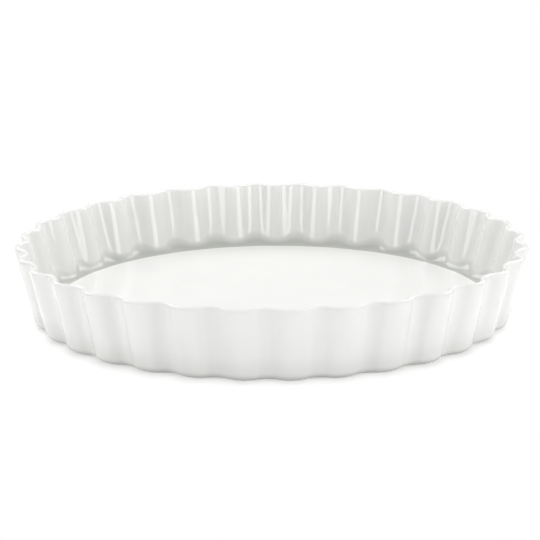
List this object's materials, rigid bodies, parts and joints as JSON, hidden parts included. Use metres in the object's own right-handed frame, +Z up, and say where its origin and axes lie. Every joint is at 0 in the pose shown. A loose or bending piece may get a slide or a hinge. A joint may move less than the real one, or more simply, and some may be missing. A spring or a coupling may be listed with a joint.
{
  "type": "fluted quiche dish",
  "caption": "Round shallow quiche dish of glazed porcelain, with a fluted wall that leans out, a thin rounded rim and a flat floor inside.",
  "frame": {"origin": "middle of the dish, on the surface that it stands on", "axes": "+Z up, out of the open side of the dish; +X through the crest of a flute"},
  "size_m": [0.28, 0.28, 0.0396],
  "materials": {
    "fired_porcelain": "matt, unglazed, fine grained",
    "white_glaze": "glossy white glaze"
  },
  "bodies": {
    "root": {"porcelain_body": "fired_porcelain", "inner_glaze": "white_glaze", "outer_glaze": "white_glaze", "underside_glaze": "white_glaze"}
  },
  "joints": []
}
